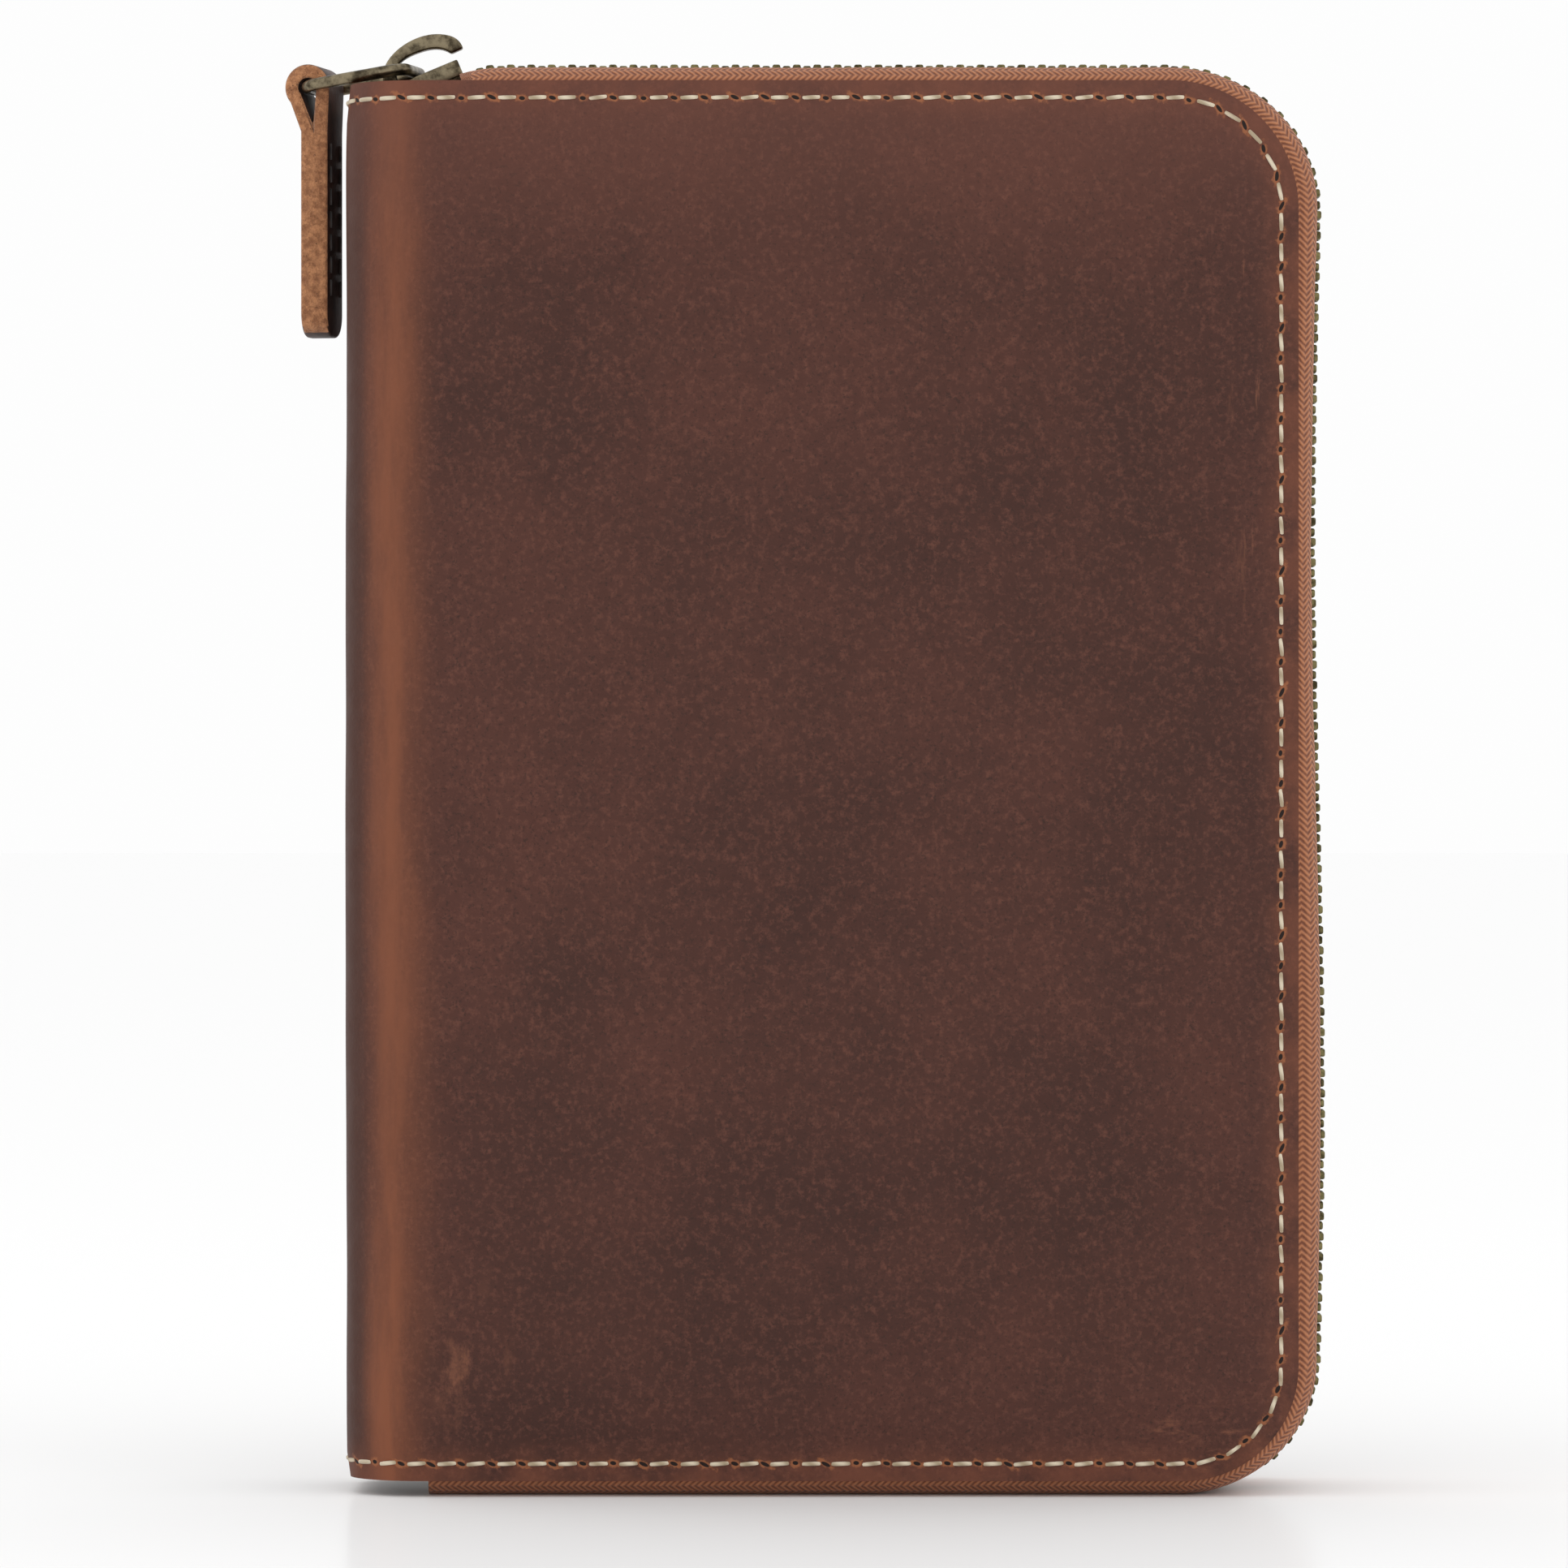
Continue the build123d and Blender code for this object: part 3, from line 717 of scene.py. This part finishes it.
    ragged = add(
        tree, "Math", (
            near,
            add(
                tree, "Math", (add(tree, "Math", (mottle(0.8, detail=3.0), 0.5), operation="SUBTRACT"), 5.0),
                operation="MULTIPLY",
            ),
        ),
        operation="ADD",
    )
    torn = add(tree, "MapRange", (ragged, 2.5, 1.2, 0.0, 0.7), interpolation_type="SMOOTHSTEP")
    colour = add(tree, "Mix", {0: torn, 6: colour, 7: "#A0633F"}, out=2, data_type="RGBA")
    # Painted shade: the inside of each hole is coloured near-black
    hole = add(tree, "MapRange", (near, 1.15, 0.85), interpolation_type="SMOOTHSTEP")
    colour = add(tree, "Mix", {0: hole, 6: colour, 7: "#1D100C"}, out=2, data_type="RGBA")
    tree.links.new(colour, shader.inputs["Base Color"])

    shine = add(tree, "Math", (mottle(3.0), 0.22, 0.48), operation="MULTIPLY_ADD")
    tree.links.new(shine, shader.inputs["Roughness"])
    pores = add(tree, "TexVoronoi", {"Vector": place, "Scale": per_mm(0.75)}, out="Distance")
    relief = add(
        tree, "Math", (add(tree, "Math", (pores, 0.35), operation="MULTIPLY"), mottle(0.5, detail=4.0)),
        operation="ADD",
    )
    relief = add(
        tree, "Math", (relief, add(tree, "Math", (wear, 0.8), operation="MULTIPLY")), operation="ADD",
    )
    relief = add(
        tree, "Math", (relief, add(tree, "Math", (hole, 3.0), operation="MULTIPLY")), operation="SUBTRACT",
    )
    bump = add(tree, "Bump", {"Height": relief, "Strength": 0.32, "Distance": 0.12 * MM})
    tree.links.new(bump, shader.inputs["Normal"])
    return made


def suede(name, light, mid, dark):
    """The cut or flesh side of the hide: raw fibre, which scatters light and looks paler."""
    made, tree, shader = material(name, Roughness=0.95, Specular_IOR_Level=0.2, Sheen_Weight=0.25)
    place = add(tree, "TexCoord", out="Object")
    clump = add(
        tree, "TexNoise", {"Vector": place, "Scale": per_mm(1.3), "Detail": 5.0, "Roughness": 0.75},
        out="Fac",
    )
    pick = add(
        tree, "TexNoise", {"Vector": place, "Scale": per_mm(0.35), "Detail": 3.0, "Roughness": 0.7},
        out="Fac",
    )
    colour = add(
        tree, "Mix",
        {0: add(tree, "MapRange", (clump, 0.35, 0.68), interpolation_type="SMOOTHSTEP"), 6: mid, 7: light},
        out=2, data_type="RGBA",
    )
    colour = add(
        tree, "Mix",
        {0: add(tree, "MapRange", (pick, 0.6, 0.72), interpolation_type="SMOOTHSTEP"), 6: colour, 7: dark},
        out=2, data_type="RGBA",
    )
    tree.links.new(colour, shader.inputs["Base Color"])
    rough = add(tree, "Math", (clump, pick), operation="ADD")
    bump = add(tree, "Bump", {"Height": rough, "Strength": 0.9, "Distance": 0.3 * MM})
    tree.links.new(bump, shader.inputs["Normal"])
    return made


def strap_face_with_painted_shade():
    """The grain side of the pull's leather, waxed and painted very dark all over: painted shade, from the
    face that lies in shade between the pull and the spine.
    """
    made, tree, shader = material("strap_leather_painted_shade", Roughness=0.55)
    place = add(tree, "TexCoord", out="Object")
    mottle = add(tree, "TexNoise", {"Vector": place, "Scale": per_mm(3.0), "Detail": 5.0}, out="Fac")
    # Painted shade: both colours are very dark, as the face looks in the shade beside the spine
    colour = add(
        tree, "Mix", {
            0: add(tree, "MapRange", (mottle, 0.3, 0.7), interpolation_type="SMOOTHSTEP"),
            6: "#2A1C17",
            7: "#4A3027",
        },
        out=2, data_type="RGBA",
    )
    tree.links.new(colour, shader.inputs["Base Color"])
    grain = add(tree, "TexVoronoi", {"Vector": place, "Scale": per_mm(0.7)}, out="Distance")
    bump = add(tree, "Bump", {"Height": grain, "Strength": 0.35, "Distance": 0.1 * MM})
    tree.links.new(bump, shader.inputs["Normal"])
    return made


# ---------------------------------------------------------------- thread, tape and metal
def waxed_thread(name, light, dark):
    """Twisted linen thread, waxed: strand twists about 0.8 mm apart show as slanting lines."""
    made, tree, shader = material(name, Roughness=0.7, Sheen_Weight=0.2)
    place = add(tree, "TexCoord", out="Object")
    twist = add(
        tree, "TexWave", {"Vector": place, "Scale": per_mm(0.8) / 6.28, "Distortion": 0.6}, out="Fac",
        wave_type="BANDS", bands_direction="DIAGONAL",
    )
    colour = add(tree, "Mix", {0: twist, 6: dark, 7: light}, out=2, data_type="RGBA")
    tree.links.new(colour, shader.inputs["Base Color"])
    bump = add(tree, "Bump", {"Height": twist, "Strength": 0.5, "Distance": 0.1 * MM})
    tree.links.new(bump, shader.inputs["Normal"])
    return made


def woven_tape():
    """Polyester zip tape, copper brown: herringbone ribs, drawn 0.95 mm apart so that they show."""
    made, tree, shader = material("woven_zip_tape", Roughness=0.9, Sheen_Weight=0.12)
    weave = add(tree, "SeparateXYZ", (add(tree, "UVMap", uv_map="weave"),)).node.outputs
    run = add(tree, "Math", (weave[0], WEAVE_UNIT), operation="MULTIPLY")
    width = add(tree, "Math", (weave[1], WEAVE_UNIT), operation="MULTIPLY")
    # Chevrons: the ribs' slant turns over every 1.5 mm across the tape
    fold = add(tree, "Math", (width, 1.5), operation="PINGPONG")
    slant = add(tree, "Math", (run, add(tree, "Math", (fold, 0.8), operation="MULTIPLY")), operation="ADD")
    rib = add(
        tree, "Math", (
            add(
                tree, "Math", (add(tree, "Math", (slant, math.tau / 0.95), operation="MULTIPLY"),),
                operation="SINE",
            ),
            0.5,
            0.5,
        ),
        operation="MULTIPLY_ADD",
    )
    seam = add(
        tree, "Math", (
            add(
                tree, "Math", (add(tree, "Math", (width, math.tau / 1.5), operation="MULTIPLY"),),
                operation="SINE",
            ),
            0.5,
            0.5,
        ),
        operation="MULTIPLY_ADD",
    )
    place = add(tree, "TexCoord", out="Object")
    fuzz = add(tree, "TexNoise", {"Vector": place, "Scale": per_mm(0.4), "Detail": 3.0}, out="Fac")
    height = add(
        tree, "Math", (
            add(tree, "Math", (rib, 0.8), operation="MULTIPLY"),
            add(tree, "Math", (seam, 0.25), operation="MULTIPLY"),
        ),
        operation="ADD",
    )
    shade = add(
        tree, "Math", (height, add(tree, "Math", (fuzz, 0.5), operation="MULTIPLY")), operation="ADD",
    )
    colour = add(
        tree, "Mix", {
            0: add(tree, "MapRange", (shade, 0.25, 1.25), interpolation_type="SMOOTHSTEP"),
            6: "#74412B",
            7: "#B87852",
        },
        out=2, data_type="RGBA",
    )
    tree.links.new(colour, shader.inputs["Base Color"])
    bump = add(tree, "Bump", {"Height": shade, "Strength": 0.8, "Distance": 0.25 * MM})
    tree.links.new(bump, shader.inputs["Normal"])
    return made


def antique_brass(name, light, dark, rough):
    """Cast brass, oxidised dark and then rubbed back, so that it is paler in patches."""
    made, tree, shader = material(name, Metallic=1.0)
    place = add(tree, "TexCoord", out="Object")
    patina = add(
        tree, "TexNoise", {"Vector": place, "Scale": per_mm(2.2), "Detail": 5.0, "Roughness": 0.65},
        out="Fac",
    )
    colour = add(
        tree, "Mix", {
            0: add(tree, "MapRange", (patina, 0.34, 0.64), interpolation_type="SMOOTHSTEP"),
            6: dark,
            7: light,
        },
        out=2, data_type="RGBA",
    )
    tree.links.new(colour, shader.inputs["Base Color"])
    dull = add(tree, "Math", (patina, -0.2, rough + 0.1), operation="MULTIPLY_ADD")
    tree.links.new(dull, shader.inputs["Roughness"])
    pits = add(tree, "TexNoise", {"Vector": place, "Scale": per_mm(0.5), "Detail": 3.0}, out="Fac")
    bump = add(tree, "Bump", {"Height": pits, "Strength": 0.18, "Distance": 0.05 * MM})
    tree.links.new(bump, shader.inputs["Normal"])
    return made


# ---------------------------------------------------------------- inside the case
def woven_cloth(name, light, dark, thread_mm):
    """Plain-woven cloth: over-and-under threads, drawn at this spacing."""
    made, tree, shader = material(name, Roughness=0.9, Sheen_Weight=0.2)
    place = add(tree, "SeparateXYZ", (add(tree, "TexCoord", out="Object"),)).node.outputs
    turn = math.tau / (thread_mm * MM)
    flat = add(tree, "Math", (place[0], place[1]), operation="ADD")
    warp = add(tree, "Math", (add(tree, "Math", (flat, turn), operation="MULTIPLY"),), operation="SINE")
    weft = add(tree, "Math", (add(tree, "Math", (place[2], turn), operation="MULTIPLY"),), operation="SINE")
    over = add(
        tree, "Math", (add(tree, "Math", (warp, weft), operation="MULTIPLY"), 0.5, 0.5),
        operation="MULTIPLY_ADD",
    )
    tree.links.new(
        add(tree, "Mix", {0: over, 6: dark, 7: light}, out=2, data_type="RGBA"), shader.inputs["Base Color"],
    )
    bump = add(tree, "Bump", {"Height": over, "Strength": 0.5, "Distance": 0.1 * MM})
    tree.links.new(bump, shader.inputs["Normal"])
    return made


def page_paper():
    """Thin bible paper, cut flush: leaves show on the edges as fine lines, drawn 0.35 mm apart."""
    made, tree, shader = material("bible_paper", Roughness=0.8)
    place = add(tree, "SeparateXYZ", (add(tree, "TexCoord", out="Object"),)).node.outputs
    facing = add(tree, "SeparateXYZ", (add(tree, "TexCoord", out="Normal"),)).node.outputs
    on_edge = add(
        tree, "Math", (add(tree, "Math", (facing[1],), operation="ABSOLUTE"), 0.7), operation="LESS_THAN",
    )
    jitter = add(
        tree, "TexNoise", {"Vector": add(tree, "TexCoord", out="Object"), "Scale": per_mm(12.0)}, out="Fac",
    )
    line = add(
        tree, "Math",
        (jitter, 4.0, add(tree, "Math", (place[1], math.tau / (0.35 * MM)), operation="MULTIPLY")),
        operation="MULTIPLY_ADD",
    )
    leaf = add(
        tree, "Math", (add(tree, "Math", (line,), operation="SINE"), 0.5, 0.5), operation="MULTIPLY_ADD",
    )
    shown = add(
        tree, "Math", (add(tree, "Math", (leaf, on_edge), operation="MULTIPLY"), 0.7), operation="MULTIPLY",
    )
    tree.links.new(
        add(tree, "Mix", {0: shown, 6: "#EFE8D6", 7: "#B9A98A"}, out=2, data_type="RGBA"),
        shader.inputs["Base Color"],
    )
    bump = add(tree, "Bump", {"Height": shown, "Strength": 0.4, "Distance": 0.1 * MM})
    tree.links.new(bump, shader.inputs["Normal"])
    return made


def grained(name, light, dark, cell_mm, rough):
    """Embossed book cloth, pressed board or foam: an all-over grain of this cell size."""
    made, tree, shader = material(name, Roughness=rough)
    place = add(tree, "TexCoord", out="Object")
    cells = add(tree, "TexVoronoi", {"Vector": place, "Scale": per_mm(cell_mm)}, out="Distance")
    tree.links.new(
        add(tree, "Mix", {0: cells, 6: dark, 7: light}, out=2, data_type="RGBA"),
        shader.inputs["Base Color"],
    )
    bump = add(tree, "Bump", {"Height": cells, "Strength": 0.5, "Distance": 0.15 * MM})
    tree.links.new(bump, shader.inputs["Normal"])
    return made


# ---------------------------------------------------------------- assembly
hide_grain = pull_up_leather()
hide_flesh = suede("suede_flesh_side", "#9A6A4C", "#7C4F38", "#5A3626")
hide_cut = suede("raw_cut_edge", "#A46A48", "#84503A", "#4B2C20")
strap_cut = suede("raw_strap_edge", "#C48A60", "#8A5A3C", "#4A2A1A")
brass_dark = antique_brass("antique_brass_fittings", "#8C8068", "#3E362A", 0.34)
brass_teeth = antique_brass("antique_brass_teeth", "#7E7550", "#3C3624", 0.4)
tape_cloth = woven_tape()
cream = waxed_thread("waxed_cream_thread", "#D9CBB2", "#A8967A")
brown = waxed_thread("waxed_dark_thread", "#3A2A24", "#1C1310")

hide_materials = [hide_grain, hide_flesh, hide_cut]
front_hide = wrap_hide("front_hide", flat_hide(), hide_materials, True)
back_hide = wrap_hide("back_and_spine_hide", flat_hide(), hide_materials, False)
front_thread = thread("front_thread", [cream], True)
back_thread = thread("back_thread", [cream], False)

for piece in (front_hide, front_thread):
    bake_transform(piece)
for piece in (back_hide, back_thread):
    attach(piece, "root")
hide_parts("front_cover_leather")
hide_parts("back_cover_leather", "spine_leather")
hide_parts("front_stitching")
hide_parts("back_stitching")

for side, word, body in ((-1, "front", "front_cover"), (1, "back", "root")):
    tape_piece = zip_tape(word + "_woven_tape", side, [tape_cloth])
    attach(tape_piece, body)
    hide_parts(word + "_zip_tape")
    row_piece = zip_teeth(word + "_tooth_row", side, [brass_teeth])
    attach(row_piece, body)
    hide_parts(word + "_zip_teeth")

fittings = (
    ("slider_body", "slider_casting", 0.35),
    ("slider_crown", "slider_hook", 0.42),
    ("zip_end_stop", "zip_end_clip", 0.25),
)
for node, name, width in fittings:
    piece = softened(node, name, width, [brass_dark])
    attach(piece, "root")
    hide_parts(node)


def strap_finish(bm):
    """Marks the strap's cut sides as suede, and leaves its faces smooth."""
    across = Vector((math.sin(PULL_TURN), math.cos(PULL_TURN), 0))
    for face in bm.faces:
        face.material_index = 1 if abs(face.normal.dot(across)) > 0.55 else 0


strap = softened("pull_strap", "folded_pull", 0.45, [strap_face_with_painted_shade(), strap_cut], 3, 28, strap_finish)
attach(strap, "pull_strap")
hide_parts("pull_strap")

kept_finishes = {
    brass_dark: ("pull_ring",),
    brown: ("pull_strap_stitching",),
    woven_cloth("plain_woven_lining", "#4A3228", "#2A1B15", 0.9): (
        "front_lining", "back_lining", "spine_lining", "front_sleeve", "back_sleeve"),
    grained("embossed_leatherette", "#2B2624", "#120F0E", 1.1, 0.5): (
        "book_front_cover", "book_back_cover", "book_spine"),
    grained("pressed_greyboard", "#8F857A", "#6C645B", 0.8, 0.9): (
        "front_board", "back_board", "spine_stiffener"),
    grained("open_cell_foam", "#C9C6BD", "#9C988E", 0.6, 0.95): ("front_foam_pad", "back_foam_pad"),
    page_paper(): ("page_block", "front_leaves"),
    woven_cloth("satin_ribbon", "#8E1F25", "#5E1116", 0.5): ("ribbon_marker",),
    woven_cloth("sewn_band", "#E4D8BE", "#8C2B2B", 1.2): ("head_band", "tail_band"),
}
for finish, nodes in kept_finishes.items():
    for node in nodes:
        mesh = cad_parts[node].data
        mesh.materials.clear()
        mesh.materials.append(finish)

# ---------------------------------------------------------------- stage, light and camera
stage_bm = bmesh.new()
bmesh.ops.create_grid(stage_bm, x_segments=1, y_segments=1, size=12000)
floor = new_piece("studio_floor", stage_bm, [], shade=False)
floor_finish, _, floor_shader = material(
    "white_acrylic_floor", Roughness=0.9, Specular_IOR_Level=0.0, Coat_Weight=0.28, Coat_Roughness=0.2)
floor_shader.inputs["Base Color"].default_value = linear("#FDFDFD")
floor.data.materials.append(floor_finish)

world = bpy.data.worlds.new("studio")
bpy.context.scene.world = world
world.use_nodes = True
world.node_tree.nodes["Background"].inputs[0].default_value = linear("#FFFFFF")
world.node_tree.nodes["Background"].inputs[1].default_value = 0.985
bpy.context.scene.view_settings.view_transform = "Standard"


def softbox(name, place, aim, size, power):
    """A square area light at a place, aimed at a point, in metres."""
    lamp = bpy.data.lights.new(name, "AREA")
    lamp.shape = "SQUARE"
    lamp.size = size
    lamp.energy = power
    holder = bpy.data.objects.new(name, lamp)
    bpy.context.scene.collection.objects.link(holder)
    holder.location = place
    holder.rotation_euler = (Vector(aim) - Vector(place)).to_track_quat("-Z", "Y").to_euler()


middle = (0, 0, HIGH_Z / 2 * MM)
softbox("left_softbox", (-0.9, -0.5, 0.5), middle, 0.6, 0.6)
softbox("top_softbox", (0.1, -0.3, 1.1), middle, 0.8, 0.6)
softbox("right_softbox", (0.9, -0.9, 0.4), middle, 0.7, 0.8)

# A long lens square to the front cover; VIEW_WIDTH is what it takes in at the cover
camera_data = bpy.data.cameras.new("camera")
camera_data.lens = 200
camera_data.sensor_width = 36
camera = bpy.data.objects.new("camera", camera_data)
bpy.context.scene.collection.objects.link(camera)
stand_off = VIEW_WIDTH * MM * camera_data.lens / camera_data.sensor_width
camera.location = (VIEW_X * MM, -HALF_THICK * MM - stand_off, VIEW_Z * MM)
camera.rotation_euler = (math.radians(90), 0, 0)
bpy.context.scene.camera = camera
